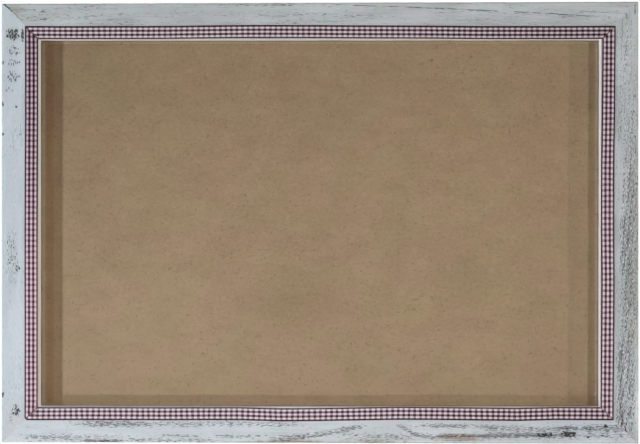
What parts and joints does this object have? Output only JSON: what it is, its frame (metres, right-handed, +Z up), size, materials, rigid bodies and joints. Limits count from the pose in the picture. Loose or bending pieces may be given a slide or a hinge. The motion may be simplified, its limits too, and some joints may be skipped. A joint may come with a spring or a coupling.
{
  "type": "wooden picture frame",
  "caption": "Rectangular wooden picture frame: mitred painted rails edged with gingham ribbon, glass, a fibreboard back held by turn buttons, and sawtooth wall hangers.",
  "frame": {"origin": "on the wall plane, at the middle of the top hanger's rear face", "axes": "+X to the right as the front shows it, along the long rails; +Y out of the back into the wall; +Z up"},
  "size_m": [0.3274, 0.0177, 0.2273],
  "materials": {
    "painted_wood": "brushed off-white paint, worn",
    "gingham_ribbon": "woven check",
    "clear_glass": "polished",
    "fibreboard": "raw fibreboard",
    "zinc_plate": "zinc plated",
    "bare_steel": "bright steel"
  },
  "bodies": {
    "frame": {"top_rail": "painted_wood", "right_rail": "painted_wood", "bottom_rail": "painted_wood", "left_rail": "painted_wood", "top_ribbon": "gingham_ribbon", "right_ribbon": "gingham_ribbon", "bottom_ribbon": "gingham_ribbon", "left_ribbon": "gingham_ribbon", "glass_pane": "clear_glass", "backing_board": "fibreboard", "top_left_v_nail_1": "bare_steel", "top_left_v_nail_2": "bare_steel", "top_right_v_nail_1": "bare_steel", "top_right_v_nail_2": "bare_steel", "bottom_left_v_nail_1": "bare_steel", "bottom_left_v_nail_2": "bare_steel", "bottom_right_v_nail_1": "bare_steel", "bottom_right_v_nail_2": "bare_steel", "top_left_button_screw": "zinc_plate", "top_right_button_screw": "zinc_plate", "right_upper_button_screw": "zinc_plate", "right_lower_button_screw": "zinc_plate", "bottom_left_button_screw": "zinc_plate", "bottom_right_button_screw": "zinc_plate", "left_upper_button_screw": "zinc_plate", "left_lower_button_screw": "zinc_plate", "top_hanger": "zinc_plate", "left_hanger": "zinc_plate", "top_hanger_left_nail": "bare_steel", "top_hanger_right_nail": "bare_steel", "left_hanger_lower_nail": "bare_steel", "left_hanger_upper_nail": "bare_steel"},
    "top_left_button": {"top_left_turn_button": "zinc_plate"},
    "top_right_button": {"top_right_turn_button": "zinc_plate"},
    "right_upper_button": {"right_upper_turn_button": "zinc_plate"},
    "right_lower_button": {"right_lower_turn_button": "zinc_plate"},
    "bottom_left_button": {"bottom_left_turn_button": "zinc_plate"},
    "bottom_right_button": {"bottom_right_turn_button": "zinc_plate"},
    "left_upper_button": {"left_upper_turn_button": "zinc_plate"},
    "left_lower_button": {"left_lower_turn_button": "zinc_plate"}
  },
  "joints": [
    {"name": "top_left_button_turn", "type": "hinge", "parent": "frame", "child": "top_left_button", "pos_m": [-0.09, -0.0025, 0], "axis": [0, 1, 0], "continuous": true},
    {"name": "top_right_button_turn", "type": "hinge", "parent": "frame", "child": "top_right_button", "pos_m": [0.09, -0.0025, 0], "axis": [0, 1, 0], "continuous": true},
    {"name": "right_upper_button_turn", "type": "hinge", "parent": "frame", "child": "right_upper_button", "pos_m": [0.15735, -0.0025, -0.05235], "axis": [0, 1, 0], "continuous": true},
    {"name": "right_lower_button_turn", "type": "hinge", "parent": "frame", "child": "right_lower_button", "pos_m": [0.15735, -0.0025, -0.16235], "axis": [0, 1, 0], "continuous": true},
    {"name": "bottom_left_button_turn", "type": "hinge", "parent": "frame", "child": "bottom_left_button", "pos_m": [-0.09, -0.0025, -0.2147], "axis": [0, 1, 0], "continuous": true},
    {"name": "bottom_right_button_turn", "type": "hinge", "parent": "frame", "child": "bottom_right_button", "pos_m": [0.09, -0.0025, -0.2147], "axis": [0, 1, 0], "continuous": true},
    {"name": "left_upper_button_turn", "type": "hinge", "parent": "frame", "child": "left_upper_button", "pos_m": [-0.15735, -0.0025, -0.05235], "axis": [0, 1, 0], "continuous": true},
    {"name": "left_lower_button_turn", "type": "hinge", "parent": "frame", "child": "left_lower_button", "pos_m": [-0.15735, -0.0025, -0.16235], "axis": [0, 1, 0], "continuous": true}
  ]
}
